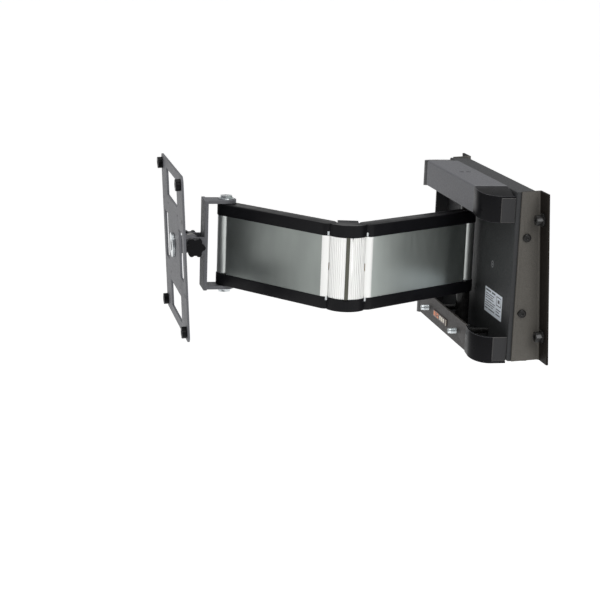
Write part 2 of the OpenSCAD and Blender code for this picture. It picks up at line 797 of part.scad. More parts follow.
// The tilt pin through the yoke's ears.
module tilt_pin() {
    half = ear_in + ear_t + knob_h - 3;
    color(steel) leaned() translate([wrist_p.x, wrist_p.y - tilt_reach, arm_z]) x_rod(tilt_pin_r, -half, 2 * half);
}

// The friction washers between the ears and the hub.
module tilt_washers() {
    color(nylon) leaned() translate([wrist_p.x, wrist_p.y - tilt_reach, arm_z])
        for (x = [ear_in - tilt_washer_t, -ear_in]) difference() {
            x_rod(hub_r, x, tilt_washer_t);
            x_rod(tilt_pin_r, x - 1, tilt_washer_t + 2);
        }
}

// A lobed knob on one end of the tilt pin.
module tilt_knob(side) {
    lobes = 6;
    x0 = ear_in + ear_t + move_gap;
    color(gloss_black) leaned() translate([wrist_p.x, wrist_p.y - tilt_reach, arm_z])
        mirror([side < 0 ? 1 : 0, 0, 0]) difference() {
            union() {
                x_rod(knob_r - 3, x0, knob_h);
                for (i = [0:lobes - 1]) rotate([i * 360 / lobes, 0, 0]) translate([0, knob_r - lobe_r, 0])
                    x_rod(lobe_r, x0 + 3, knob_h - 3);
            }
            x_rod(tilt_pin_r + run_gap, x0 - 1, knob_h - 3 - move_gap + 2);
        }
}

// The hub on the tilt pin, with the disc and stub that the screen plate turns on.
module tilt_hub() {
    neck_y = -hub_disc_y;
    color(coat) head_at() difference() {
        union() {
            x_rod(hub_r, -hub_half, 2 * hub_half);
            block([-hub_half, neck_y - 1, -hub_neck / 2], [hub_half, 0, hub_neck / 2]);
            out_rod(hub_disc_r, neck_y, hub_disc_t);
            out_rod(stub_r, neck_y, plate_y - hub_disc_y + plate_t + nut_h);
        }
        x_rod(tilt_pin_r + run_gap, -big / 2, big);
    }
}

// The nut that keeps the screen plate on the hub.
module roll_nut() {
    y0 = -plate_y - plate_t - 0.4;
    color(steel) head_at() difference() {
        out_rod(nut_r, y0, nut_h - 0.4);
        out_rod(stub_r, 1, big);
    }
}

// The plate that the screen is bolted to, with its hole patterns and lightening windows.
module screen_plate() {
    half = plate_size / 2;
    middle_y = -plate_y - plate_t / 2;
    color(coat) head_at() difference() {
        block([-half, -plate_y - plate_t, -half], [half, -plate_y, half]);
        out_rod(stub_r + run_gap, 0, big);
        for (x = [-1, 1], z = [-1, 1]) {
            translate([x * hole_wide / 2, 0, z * hole_wide / 2]) out_rod(plate_hole_r, 0, big);
            translate([x * hole_wide / 2, 0, z * hole_narrow / 2]) out_rod(plate_hole_r, 0, big);
            translate([x * hole_narrow / 2, 0, z * hole_narrow / 2]) out_rod(small_hole_r, 0, big);
        }
        for (s = [-1, 1]) {
            translate([s * side_window_x, middle_y, 0]) cube([side_window.x, big, side_window.y], center = true);
            translate([0, middle_y, s * end_window_z]) cube([end_window.x, big, end_window.y], center = true);
        }
        for (x = [-1, 1], z = [-1, 1]) translate([x * half, middle_y, z * half])
            rotate([0, 45, 0]) cube([corner_cut, big, corner_cut], center = true);
    }
}

// The four tube spacers between the plate and the screen.
module screen_spacers() {
    color(gloss_black) head_at() for (x = [-1, 1], z = [-1, 1])
        translate([x * hole_wide / 2, 0, z * hole_wide / 2]) difference() {
            out_rod(plate_spacer_r, -plate_y - plate_t, spacer_len);
            out_rod(plate_hole_r, 0, big);
        }
}

cheek(-1);  // left_cheek
cheek(1);  // right_cheek
tie_bar(tie_z);  // upper_tie_bar
tie_bar(-tie_z);  // lower_tie_bar
wall_bolts();
pivot_screws();
face_plate();
upper_bracket();
lower_bracket();
corner_cover(1, upper_cover_z, 1, cover_drop);  // upper_near_cover
corner_cover(-1, upper_cover_z, 1, far_top_drop);  // upper_far_cover
corner_cover(1, lower_cover_z, -1, cover_drop);  // lower_near_cover
corner_cover(-1, lower_cover_z, -1, cover_drop);  // lower_far_cover
bracket_end_plates();
shaft_plate();
shoulder_shaft();
shoulder_spacers();
clamp_screws();
jack_screw(jack_spacing / 2);  // near_jack_screw
jack_screw(-jack_spacing / 2);  // far_jack_screw
badge_plate();
rating_label();
arm_at(shoulder_p, rear_a) beam(rear_link_len);  // rear_beam
arm_at(shoulder_p, rear_a) link_cap(rear_link_len);  // rear_top_cap
arm_at(shoulder_p, rear_a) mirror([0, 0, 1]) link_cap(rear_link_len);  // rear_bottom_cap
arm_at(shoulder_p, rear_a) shaft_barrel();  // shoulder_barrel
arm_at(shoulder_p, rear_a) elbow_bushes(rear_link_len);  // rear_elbow_bushes
arm_at(elbow_rear_p, knuckle_a) color(brass)  // rear_gear
    spur_gear(elbow_shaft_r + run_gap);
arm_at(elbow_rear_p, knuckle_a) knuckle_cap();  // knuckle_top_cap
arm_at(elbow_rear_p, knuckle_a) mirror([0, 0, 1]) knuckle_cap();  // knuckle_bottom_cap
arm_at(elbow_rear_p, knuckle_a) knuckle_shell(-1);  // knuckle_rear_shell
arm_at(elbow_rear_p, knuckle_a) knuckle_shell(1);  // knuckle_front_shell
arm_at(elbow_rear_p, knuckle_a) knuckle_seam_strip();
arm_at(elbow_rear_p, knuckle_a) knuckle_inner_cover();
arm_at(elbow_rear_p, knuckle_a) knuckle_plates();
arm_at(elbow_rear_p, knuckle_a)  // elbow_shafts
    knuckle_rods(elbow_shaft_r, [0, knuckle_len]);
arm_at(elbow_rear_p, knuckle_a)  // idler_shafts
    knuckle_rods(idler_shaft_r, [knuckle_len / 3, 2 * knuckle_len / 3]);
arm_at(elbow_rear_p, knuckle_a) color(brass)  // rear_idler_gear
    translate([knuckle_len / 3, 0, 0]) rotate([0, 0, gap_turn]) spur_gear(idler_shaft_r + run_gap);
arm_at(elbow_rear_p, knuckle_a) color(brass)  // front_idler_gear
    translate([2 * knuckle_len / 3, 0, 0]) rotate([0, 0, front_idler_turn]) spur_gear(idler_shaft_r + run_gap);
front_link() beam(front_link_len);  // front_beam
front_link() link_cap(front_link_len);  // front_top_cap
front_link() mirror([0, 0, 1]) link_cap(front_link_len);  // front_bottom_cap
front_link() shaft_barrel();  // wrist_barrel
front_link() elbow_bushes(front_link_len);  // front_elbow_bushes
arm_at(elbow_rear_p, knuckle_a) color(brass)  // front_gear
    translate([knuckle_len, 0, 0]) rotate([0, 0, front_gear_turn]) spur_gear(elbow_shaft_r + run_gap);
wrist_yoke();
wrist_shaft();
wrist_washers();
tilt_pin();
tilt_washers();
tilt_knob(1);  // near_tilt_knob
tilt_knob(-1);  // far_tilt_knob
tilt_hub();
roll_nut();
screen_plate();
screen_spacers();
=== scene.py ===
# %% [markdown]
# # A full motion television wall mount
# The mount is a pressed steel wall unit with a short double link arm. A geared knuckle joins the two
# links, and a tilting head with a square plate carries the screen. The engineering model gives the
# size, place and motion of every node, and this file gives each one its shape in close up and its finish.

import json
import math

import bmesh
import bpy
from mathutils import Matrix, Vector


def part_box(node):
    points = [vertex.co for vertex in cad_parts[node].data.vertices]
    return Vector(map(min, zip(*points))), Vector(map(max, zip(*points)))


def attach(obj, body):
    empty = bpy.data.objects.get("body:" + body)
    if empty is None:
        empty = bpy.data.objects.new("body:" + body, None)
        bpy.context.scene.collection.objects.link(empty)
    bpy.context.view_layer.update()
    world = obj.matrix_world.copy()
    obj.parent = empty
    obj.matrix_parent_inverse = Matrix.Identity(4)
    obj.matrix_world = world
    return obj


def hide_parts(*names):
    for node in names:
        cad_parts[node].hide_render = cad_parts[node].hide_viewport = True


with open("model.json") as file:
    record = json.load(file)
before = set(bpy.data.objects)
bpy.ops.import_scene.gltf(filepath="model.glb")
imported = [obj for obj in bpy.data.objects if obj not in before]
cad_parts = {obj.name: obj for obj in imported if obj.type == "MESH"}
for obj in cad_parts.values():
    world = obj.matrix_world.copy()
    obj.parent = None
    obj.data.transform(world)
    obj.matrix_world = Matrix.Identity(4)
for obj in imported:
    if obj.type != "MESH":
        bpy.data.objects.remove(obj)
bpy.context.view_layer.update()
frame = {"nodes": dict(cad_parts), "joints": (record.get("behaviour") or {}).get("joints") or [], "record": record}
record = frame["record"]
joints = {j["name"]: j for j in frame["joints"]}
body_of = {n: b for b, members in record["behaviour"]["bodies"].items() for n in members}

# %% [markdown]
# ## The camera
# A long lens from the near end of the wall unit, a little above it. The camera is set by its place and
# by the three directions of its axes, so that it needs no target object and no constraint. It comes
# first, because every later choice of size and gloss is judged through it.

# %% Place the camera
CAMERA_RIGHT = Vector((0.19821, 0.97986, -0.02437))
CAMERA_UP = Vector((-0.22931, 0.07054, 0.97080))
CAMERA_PLACE = Vector((2.1390, -0.7123, 0.4877))

SENSOR_WIDTH, LENS_LENGTH = 36.0, 97.72
NEAREST, FARTHEST = 0.05, 200.0

lens = bpy.data.cameras.new("studio_camera")
lens.sensor_width = SENSOR_WIDTH
lens.lens = LENS_LENGTH
lens.clip_start, lens.clip_end = NEAREST, FARTHEST
camera = bpy.data.objects.new("studio_camera", lens)
turn = Matrix((CAMERA_RIGHT, CAMERA_UP, CAMERA_RIGHT.cross(CAMERA_UP))).transposed()
camera.matrix_world = Matrix.Translation(CAMERA_PLACE) @ turn.to_4x4()
bpy.context.scene.collection.objects.link(camera)
bpy.context.scene.camera = camera
print("camera at", [round(v, 3) for v in CAMERA_PLACE])

# %% [markdown]
# ## Frames to model in
# The chassis and the arm lean back by a few degrees, and each link points its own way. A piece is
# easiest to model square and at the origin. So each group has a frame, a matrix from its own axes to
# the wall's, and the frames come from the joints of the model: a link's frame starts at its pivot.

# %% Build the frames
MM = 0.001
X_AXIS = Vector((1, 0, 0))
ARM_UP = Vector(joints["shoulder_swing"]["axis"]).normalized()


def pivot(name):
    """The point that a joint turns about."""
    return Vector(joints[name]["pos_m"])


def frame_at(origin, along, up=ARM_UP):
    """The frame with its origin here, z up and x as near as can be to along."""
    z = up.normalized()
    x = (along - z * along.dot(z)).normalized()
    m = Matrix((x, z.cross(x), z)).transposed().to_4x4()
    m.translation = origin
    return m


shoulder, rear_elbow = pivot("shoulder_swing"), pivot("rear_elbow")
front_elbow, wrist = pivot("front_elbow"), pivot("wrist_swivel")
WALL = Matrix.Identity(4)
CHASSIS = frame_at(Vector((0, 0, 0)), X_AXIS)
REAR_LINK = frame_at(shoulder, rear_elbow - shoulder)
KNUCKLE = frame_at(rear_elbow, front_elbow - rear_elbow)
FRONT_LINK = frame_at(wrist, front_elbow - wrist)


def reach(node, place):
    """The lowest and highest corner of a node, measured along a frame's own axes."""
    back = place.inverted()
    points = [back @ v.co for v in frame["nodes"][node].data.vertices]
    low = Vector(min(p[i] for p in points) for i in range(3))
    high = Vector(max(p[i] for p in points) for i in range(3))
    return low, high


link_low, link_high = reach("rear_top_cap", REAR_LINK)
print("lean", round(math.degrees(math.atan2(ARM_UP.y, ARM_UP.z)), 2), "degrees")
print("link cap", [round(v / MM, 1) for v in link_high - link_low], "mm")

# %% [markdown]
# ## The lathe and the assembly bench
# Spacers, barrels and threaded rods are turned on a lathe, so one helper spins a profile about z. A
# second gathers finished parts into a single piece, as a maker would bolt a batch together.

# %% Make the lathe and the assembly bench
WELD_TURNED = 1e-6


def turned(profile, steps=40):
    """A closed solid from a profile of (radius, height) points, spun about z."""
    bm = bmesh.new()
    points = [bm.verts.new((r, 0, z)) for r, z in profile]
    edges = [bm.edges.new(pair) for pair in zip(points, points[1:])]
    bmesh.ops.spin(bm, geom=points + edges, cent=(0, 0, 0), axis=(0, 0, 1), dvec=(0, 0, 0),
                   angle=math.tau, steps=steps, use_merge=True, use_duplicate=False)
    bmesh.ops.remove_doubles(bm, verts=bm.verts, dist=WELD_TURNED)
    bmesh.ops.recalc_face_normals(bm, faces=bm.faces)
    return bm


def gathered(parts):
    """One bmesh from pairs of a part and the matrix that carries it to its place."""
    whole = bmesh.new()
    for part, place in parts:
        part.transform(place)
        mesh = bpy.data.meshes.new("part")
        part.to_mesh(mesh)
        whole.from_mesh(mesh)
        bpy.data.meshes.remove(mesh)
        part.free()
    return whole


print("the lathe and the assembly bench are ready")

# %% [markdown]
# ## The file and the copying table
# No sheet metal or moulding has a perfectly sharp corner: a file or a tumbler breaks each one. So a copy
# of a node first has its loose triangles joined, and then its sharp edges are bevelled. The strips that
# the bevel leaves can take their own lighter finish, which paints a highlight along the edge.

# %% Make the file and the copying table
EASED_OVER = 28
WELD_COPIED = 2e-6
FLAT_WITHIN = 0.6


def any_edge(edge):
    return True


def sharp(degrees=50):
    """Picks the edges that turn by more than this."""
    return lambda e: e.calc_face_angle(0) > math.radians(degrees)


def ease(bm, width, segments=2, pick=any_edge):
    """Bevels the picked sharp edges and returns the new faces."""
    edges = [e for e in bm.edges if len(e.link_faces) == 2
             and e.calc_face_angle(0) > math.radians(EASED_OVER) and pick(e)]
    if not edges:
        return []
    made = bmesh.ops.bevel(bm, geom=edges, offset=width, offset_type="OFFSET", affect="EDGES",
                           segments=segments, profile=0.5, material=-1, clamp_overlap=True)
    return made["faces"]


def ease_and_highlight_rims(bm, width, segments=2, pick=any_edge):
    """Eases the picked edges and gives their strips the piece's second finish, a lighter one that paints a
    highlight along them.
    """
    for face in ease(bm, width, segments, pick):
        # painted highlight: the strip takes the lighter second finish
        face.material_index = 1


def copied(node, place=WALL):
    """A copy of a node in a frame, with its triangles merged and its flat faces joined."""
    bm = bmesh.new()
    bm.from_mesh(frame["nodes"][node].data)
    bmesh.ops.remove_doubles(bm, verts=bm.verts, dist=WELD_COPIED)
    bmesh.ops.dissolve_limit(bm, angle_limit=math.radians(FLAT_WITHIN), verts=bm.verts, edges=bm.edges)
    bm.transform(place.inverted())
    return bm


print("edges sharper than", EASED_OVER, "degrees can be eased")

# %% [markdown]
# ## Closing a piece
# Each piece is closed the same way: it is carried from its own frame to the wall's, its faces are turned
# outward, its finishes go on, and it rides on the body of its first node. A piece that shows a node in
# full stands in for it. Print and other additions only ride along.

# %% Make the closing step
def close_piece(bm, name, finishes, nodes, place=WALL, smooth_under=21, stands_in=True):
    """The finished piece: normals out, finishes on, riding on the body of its first node."""
    bm.transform(place)
    bmesh.ops.recalc_face_normals(bm, faces=bm.faces)
    mesh = bpy.data.meshes.new(name)
    bm.to_mesh(mesh)
    bm.free()
    for finish in finishes:
        mesh.materials.append(finish)
    mesh.shade_smooth()
    mesh.set_sharp_from_angle(angle=math.radians(smooth_under))
    piece = bpy.data.objects.new(name, mesh)
    bpy.context.scene.collection.objects.link(piece)
    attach(piece, body_of[nodes[0]])
    if stands_in:
        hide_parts(*nodes)
    print(name, "faces", len(mesh.polygons))


# %% [markdown]
# ## Finishes
# Every finish is built from the same few moves: a noise that reads the piece's own coordinates, a ramp
# from it to a colour, a range from it to a roughness, and a bump. Only the sizes and strengths differ.
# Stretching the noise along one axis turns grains into brushing or extrusion lines.

# %% Make the moves of a finish
NOISE_LOW, NOISE_HIGH = 0.3, 0.7


def new_finish(name, metallic=0.0, specular=0.5):
    """A material with one shader, and its node tree."""
    finish = bpy.data.materials.new(name)
    finish.use_nodes = True
    shader = finish.node_tree.nodes["Principled BSDF"]
    shader.inputs["Metallic"].default_value = metallic
    shader.inputs["Specular IOR Level"].default_value = specular
    return finish, finish.node_tree, shader


def grain(tree, scale, detail=3.0, stretch=(1, 1, 1)):
    """A noise in metres of the piece's own coordinates. Scale is in grains per metre."""
    coords = tree.nodes.new("ShaderNodeTexCoord")
    mapping = tree.nodes.new("ShaderNodeMapping")
    mapping.inputs["Scale"].default_value = stretch
    noise = tree.nodes.new("ShaderNodeTexNoise")
    noise.inputs["Scale"].default_value = scale
    noise.inputs["Detail"].default_value = detail
    noise.inputs["Roughness"].default_value = 0.55
    tree.links.new(coords.outputs["Object"], mapping.inputs["Vector"])
    tree.links.new(mapping.outputs["Vector"], noise.inputs["Vector"])
    return noise.outputs["Fac"]


def colour_from(tree, shader, value, dark, light, low=NOISE_LOW, high=NOISE_HIGH):
    """The base colour runs from dark to light over the middle of the noise."""
    ramp = tree.nodes.new("ShaderNodeValToRGB")
    ramp.color_ramp.elements[0].position, ramp.color_ramp.elements[1].position = low, high
    ramp.color_ramp.elements[0].color = (*dark, 1)
    ramp.color_ramp.elements[1].color = (*light, 1)
    tree.links.new(value, ramp.inputs["Fac"])
    tree.links.new(ramp.outputs["Color"], shader.inputs["Base Color"])


def roughness_from(tree, shader, value, low, high):
    """The roughness runs from low to high over the middle of the noise."""
    span = tree.nodes.new("ShaderNodeMapRange")
    span.inputs["From Min"].default_value, span.inputs["From Max"].default_value = NOISE_LOW, NOISE_HIGH
    span.inputs["To Min"].default_value, span.inputs["To Max"].default_value = low, high
    tree.links.new(value, span.inputs["Value"])
    tree.links.new(span.outputs["Result"], shader.inputs["Roughness"])


def bump_from(tree, shader, value, depth, strength=1.0, under=None):
    """A bump this deep in metres, over another bump if one is given."""
    bump = tree.nodes.new("ShaderNodeBump")
    bump.inputs["Distance"].default_value = depth
    bump.inputs["Strength"].default_value = strength
    tree.links.new(value, bump.inputs["Height"])
    if under:
        tree.links.new(under.outputs["Normal"], bump.inputs["Normal"])
    tree.links.new(bump.outputs["Normal"], shader.inputs["Normal"])
    return bump


print("the moves of a finish are ready")

# %% [markdown]
# ### Powder coat
# The steel is powder coated. The powder flows into a skin with a soft orange peel of about two
# millimetres and a finer sand on top of it. Two noises at those two sizes give the peel and the sand.
# Edges have their own lighter mixes of the coat, which paint a highlight along them. The same coat is
# given darker mixes where the sheet lies deep in shade, which paint that shade: the face plate, the
# lower bracket, the flanges, the end plates and the inside have mixes of their own.

# %% Mix the powder coats
PEEL_GRAINS, SAND_GRAINS = 420, 1500


def powder_coat(name, dark, light, rough=(0.46, 0.6), peel=0.00012, sand=0.00008, specular=0.45):
    finish, tree, shader = new_finish(name, specular=specular)
    wide = grain(tree, PEEL_GRAINS, 2.0)
    fine = grain(tree, SAND_GRAINS, 3.0)
    colour_from(tree, shader, fine, dark, light, 0.32, 0.68)
    roughness_from(tree, shader, wide, *rough)
    peel_bump = bump_from(tree, shader, wide, peel, 0.6)
    bump_from(tree, shader, fine, sand, 0.6, peel_bump)
    return finish


coat_grey = powder_coat("powder_coat_grey", (0.071, 0.072, 0.080), (0.108, 0.110, 0.120))
# painted highlight: a lighter copy of the grey coat for eased edges
grey_coat_painted_highlight = powder_coat("grey_powder_painted_edge_highlight", (0.15, 0.152, 0.16), (0.21, 0.212, 0.22))
# painted shade: a darker copy of the coat for the lower bracket, the tray
tray_coat_painted_shade = powder_coat("tray_powder_painted_shade", (0.022, 0.019, 0.018), (0.037, 0.033, 0.031),
                        specular=0.28)
# painted highlight: a lighter copy of the coat for the lower bracket's and end plates' eased edges
tray_coat_painted_highlight = powder_coat("tray_powder_painted_edge_highlight", (0.08, 0.076, 0.072), (0.115, 0.108, 0.102))
# painted shade: a darker copy of the grey coat for the face plate
face_coat_painted_shade = powder_coat("face_powder_painted_shade", (0.021, 0.022, 0.023), (0.036, 0.037, 0.039),
                        specular=0.25)
# painted shade: a darker copy of the coat for the end plates
end_coat_painted_shade = powder_coat("end_plate_powder_painted_shade", (0.020, 0.020, 0.021), (0.033, 0.033, 0.035),
                       specular=0.22)
# painted shade: a near black copy of the coat for the shaft plate inside
inside_coat_painted_shade = powder_coat("inside_powder_painted_shade", (0.008, 0.008, 0.008), (0.014, 0.014, 0.014),
                          specular=0.15)
coat_brown = powder_coat("powder_coat_brown", (0.045, 0.041, 0.035), (0.098, 0.091, 0.079),
                         rough=(0.5, 0.64), sand=0.00012)
# painted highlight: a lighter copy of the brown coat for the cheeks' eased edges
brown_coat_painted_highlight = powder_coat("brown_powder_painted_edge_highlight", (0.13, 0.125, 0.112), (0.18, 0.172, 0.158))
# painted shade: a near black copy of the brown coat for the flanges
flange_coat_painted_shade = powder_coat("flange_powder_painted_shade", (0.007, 0.0058, 0.005), (0.014, 0.0115, 0.0095),
                          specular=0.08)
print("powder coats mixed")

# %% [markdown]
# ### Aluminium
# The links are extruded and clear anodised. Extrusion leaves straight lines along the profile, which
# here stands upright, so the noise is squeezed to a hundredth along z. The metal is also slightly
# stronger in gloss across the lines than along them, which anisotropy gives. Both beams are probably the
# same metal. In this studio's light the front one comes out much brighter than it should, so it has a
# darker mix, a painted shade that makes up for the lighting and isn't meant as a second metal. The
# barrels take a darker mix of the same metal as painted shade. The brightest mix is the ribbed shells'
# metal, and it also paints a highlight on the round ends of the beams.

# %% Mix the aluminiums
LINE_GRAINS, CLOUD_GRAINS = 1400, 22
LINE_DEPTH = 0.00003
LINE_GLOSS = 0.35


def extruded(name, dark, light, rough=(0.3, 0.4)):
    finish, tree, shader = new_finish(name, metallic=1.0)
    shader.inputs["Anisotropic"].default_value = LINE_GLOSS
    streaks = grain(tree, LINE_GRAINS, 4.0, stretch=(1, 1, 0.012))
    clouds = grain(tree, CLOUD_GRAINS, 2.0, stretch=(1, 1, 0.4))
    colour_from(tree, shader, clouds, dark, light)
    roughness_from(tree, shader, streaks, *rough)
    bump_from(tree, shader, streaks, LINE_DEPTH, 0.5)
    return finish


beam_alu = extruded("anodised_beam", (0.68, 0.74, 0.705), (0.78, 0.84, 0.80))
# painted shade: a darker mix for the front beam
beam_alu_painted_shade = extruded("anodised_beam_painted_shade", (0.29, 0.315, 0.30), (0.37, 0.40, 0.38))
# the ribbed shells' bright metal, which also paints a highlight on the beams' round ends
ribbed_alu_and_end_highlight = extruded("bright_ribbed_alu_and_painted_end_highlight", (0.90, 0.91, 0.89), (0.97, 0.97, 0.95), rough=(0.34, 0.46))
# painted shade: a darker mix of the anodised metal for the barrels
barrel_alu_painted_shade = extruded("anodised_barrel_painted_shade", (0.55, 0.58, 0.56), (0.66, 0.69, 0.67))
print("aluminiums mixed")

# %% [markdown]
# ### Black plastics, steel, brass and nylon
# The link caps are satin plastic with the faint mottle of a spark eroded mould. The corner covers are
# moulded with a polished skin, and their rims take a lighter mix as a painted highlight. Fasteners are
# black oxide or bright zinc, with fine turning marks. Black oxide is a thin dark skin that hides most of
# the metal, so it is mixed without metal, and only its worn rims have some. The lighter mix on those
# rims is partly that wear and partly a painted glint.

# %% Mix the plastics and the small metals
WEAR_GRAINS, MOTTLE_GRAINS = 60, 900
TURNING_GRAINS, TARNISH_GRAINS = 2600, 130
TURNING_DEPTH = 0.00002


def moulded(name, dark, light, rough, mottle=0.00003, specular=0.5):
    finish, tree, shader = new_finish(name, specular=specular)
    wide = grain(tree, WEAR_GRAINS, 2.0)
    fine = grain(tree, MOTTLE_GRAINS, 3.0)
    colour_from(tree, shader, fine, dark, light)
    roughness_from(tree, shader, wide, *rough)
    bump_from(tree, shader, fine, mottle, 0.5)
    return finish


def turned_metal(name, dark, light, rough, metallic=1.0, specular=0.5):
    finish, tree, shader = new_finish(name, metallic=metallic, specular=specular)
    marks = grain(tree, TURNING_GRAINS, 3.0, stretch=(1, 0.2, 1))
    clouds = grain(tree, TARNISH_GRAINS, 2.0)
    colour_from(tree, shader, clouds, dark, light)
    roughness_from(tree, shader, clouds, *rough)
    bump_from(tree, shader, marks, TURNING_DEPTH, 0.5)
    return finish


cap_plastic = moulded("satin_cap_plastic", (0.0035, 0.0035, 0.0042), (0.0065, 0.0065, 0.0078),
                      (0.30, 0.42), specular=0.14)
gloss_plastic = moulded("polished_cover_plastic", (0.003, 0.003, 0.0036), (0.006, 0.006, 0.0072),
                        (0.26, 0.36), 0.00001, specular=0.09)
# painted highlight: a lighter mix for the covers' rims
cover_rim_painted_highlight = moulded("polished_cover_painted_rim_highlight", (0.05, 0.05, 0.055), (0.08, 0.08, 0.088), (0.24, 0.34), 0.00001)
nylon = moulded("natural_nylon", (0.62, 0.61, 0.54), (0.72, 0.71, 0.64), (0.4, 0.5))
seam_rubber = moulded("olive_seam", (0.055, 0.056, 0.040), (0.085, 0.086, 0.064), (0.5, 0.6))
zinc = turned_metal("bright_zinc", (0.56, 0.60, 0.62), (0.74, 0.77, 0.78), (0.2, 0.34))
black_oxide = turned_metal("black_oxide", (0.006, 0.006, 0.006), (0.016, 0.0155, 0.015), (0.14, 0.24),
                           metallic=0.0, specular=0.22)
# worn rims and a painted glint: a lighter, metallic mix of black oxide
oxide_rim_wear_and_glint = turned_metal("black_oxide_worn_rim_and_painted_glint", (0.025, 0.025, 0.025), (0.07, 0.07, 0.07),
                               (0.16, 0.26), metallic=0.8)
gear_brass = turned_metal("gear_brass", (0.62, 0.46, 0.20), (0.72, 0.56, 0.28), (0.24, 0.36))
print("plastics and small metals mixed")

# %% [markdown]
# ## Wall unit: the two cheeks
# Each cheek is one pressed sheet: a tapered side wall and a flange against the wall. A copy of the node
# keeps every hole where it is. The inner corner of the fold gets a fillet like a real bend, and the
# cut edges are eased and take a lighter mix of the coat as a painted highlight. The flange lies back in
# the dark of the wall, and that shade is painted on it as a near black mix of the coat.

# %% Shape the cheeks
CHEEK_SHEET = 3 * MM
CHEEK_FILLET, CHEEK_BREAK = 2.4 * MM, 0.45 * MM


def near(a, b, slack=0.0004):
    """Whether two lengths are the same within a fraction of a millimetre."""
    return abs(a - b) < slack


def upright(edge):
    """Whether an edge runs along z."""
    run = (edge.verts[0].co - edge.verts[1].co).normalized()
    return abs(run.z) > 0.99


for node, side in (("left_cheek", -1), ("right_cheek", 1)):
    low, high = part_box(node)
    inner = low.x if side > 0 else high.x
    fold_x = abs(inner) + CHEEK_SHEET
    bm = copied(node)
    ease(bm, CHEEK_FILLET, 4, lambda e: upright(e) and near(abs(e.verts[0].co.x), fold_x)
         and near(e.verts[0].co.y, -CHEEK_SHEET))
    rims = ease(bm, CHEEK_BREAK, 2, sharp())
    for f in bm.faces:
        # painted shade: the flange's faces take the near black mix, the rest the brown coat
        f.material_index = 2 if abs(f.calc_center_median().x) > fold_x + CHEEK_SHEET else 0
    # painted highlight on the eased edges, except on the flange, which keeps its painted shade
    for f in rims:
        if f.is_valid:
            f.material_index = 1 if f.material_index == 0 else 2
    close_piece(bm, node + "_sheet", [coat_brown, brown_coat_painted_highlight, flange_coat_painted_shade], [node])

# %% [markdown]
# ## Chassis: the face plate
# The face plate is a shallow tray that opens to the wall. It would be cut flat and folded on a press
# brake, so its folds have an outside radius of about the sheet's thickness, and its cut edges only a
# light break. The folds are the outer edges of its box, which is how they are picked.

# %% Shape the face plate
PLATE_FOLD, PLATE_BREAK = 2.2 * MM, 0.35 * MM


def fold_lines(low, high):
    """Picks the outer edges of a box, which are where the sheet is folded."""
    def pick(edge):
        mid = (edge.verts[0].co + edge.verts[1].co) / 2
        hits = sum(near(mid[i], low[i]) or near(mid[i], high[i]) for i in range(3))
        return hits >= 2 and near(mid.y, low.y)
    return pick


low, high = reach("face_plate", CHASSIS)
bm = copied("face_plate", CHASSIS)
ease(bm, PLATE_FOLD, 4, fold_lines(low, high))
ease_and_highlight_rims(bm, PLATE_BREAK, 2, sharp())
# painted shade: a darker copy of the grey coat; painted highlight on the eased rims
close_piece(bm, "face_plate_sheet", [face_coat_painted_shade, grey_coat_painted_highlight], ["face_plate"], CHASSIS)

# %% [markdown]
# ## Chassis: brackets, end plates and bars
# The brackets are folded plates on the front of the face plate, the end plates close them at the sides,
# and the bars behind hold the wall unit square. All are cut from sheet and keep their nodes' shapes,
# with a light break along every cut edge. On the brackets and end plates the break takes a lighter
# mix as a painted highlight, and the lower bracket, the tray, and the end plates take darker mixes as
# painted shade. The shaft plate stands inside, in the dark, and that shade is painted on it as a near
# black coat.

# %% Shape the brackets, end plates and bars
BRACKET_BREAK, END_BREAK, BAR_BREAK = 0.5 * MM, 0.4 * MM, 0.5 * MM

# painted shade: the lower bracket takes a darker copy of the coat; both brackets' rims take a painted highlight
for node, coat, edge in (("upper_bracket", coat_grey, grey_coat_painted_highlight),
                         ("lower_bracket", tray_coat_painted_shade, tray_coat_painted_highlight)):
    bm = copied(node, CHASSIS)
    ease_and_highlight_rims(bm, BRACKET_BREAK, 2, sharp())
    close_piece(bm, node + "_sheet", [coat, edge], [node], CHASSIS)

# painted shade on the end plates, and a painted highlight on their rims
bm = copied("bracket_end_plates", CHASSIS)
ease_and_highlight_rims(bm, END_BREAK)
close_piece(bm, "end_plates", [end_coat_painted_shade, tray_coat_painted_highlight], ["bracket_end_plates"], CHASSIS)

for node in ("upper_tie_bar", "lower_tie_bar", "shaft_plate"):
    bm = copied(node, CHASSIS)
    ease(bm, BAR_BREAK)
    # painted shade: the shaft plate inside takes the near black coat
    finish = inside_coat_painted_shade if node == "shaft_plate" else coat_grey
    close_piece(bm, node + "_flat", [finish], [node], CHASSIS)

# %% [markdown]
# ## Corner covers
# The four covers are polished black mouldings with a round plan. Their rims are softly rounded and have
# a lighter finish, a painted highlight for the thin line of light that a polished rim catches all along.

# %% Shape the corner covers
COVER_ROUND = 0.6 * MM

for node in ("upper_near_cover", "upper_far_cover", "lower_near_cover", "lower_far_cover"):
    bm = copied(node, CHASSIS)
    # painted highlight: the rounded rims take the lighter second finish
    ease_and_highlight_rims(bm, COVER_ROUND, 3, sharp())
    close_piece(bm, node + "_moulding", [gloss_plastic, cover_rim_painted_highlight], [node], CHASSIS)

# %% [markdown]
# ## Links: beams and caps
# A link is a hollow extrusion with a long black cap along each edge. The beam is cut to length, so it
# only has small breaks, and its round end at the elbow takes a brighter metal as a painted highlight.
# The cap is moulded, with a broad round along its outer rim and small breaks elsewhere.

# %% Shape the links
HIGHLIGHTED_ROUND_END = 11.2 * MM
CAP_ROUND, LINK_BREAK = 1.6 * MM, 0.35 * MM


def rim_at(height, slack=0.0003):
    """Picks the edges that lie flat at this height."""
    return lambda e: all(near(v.co.z, height, slack) for v in e.verts)


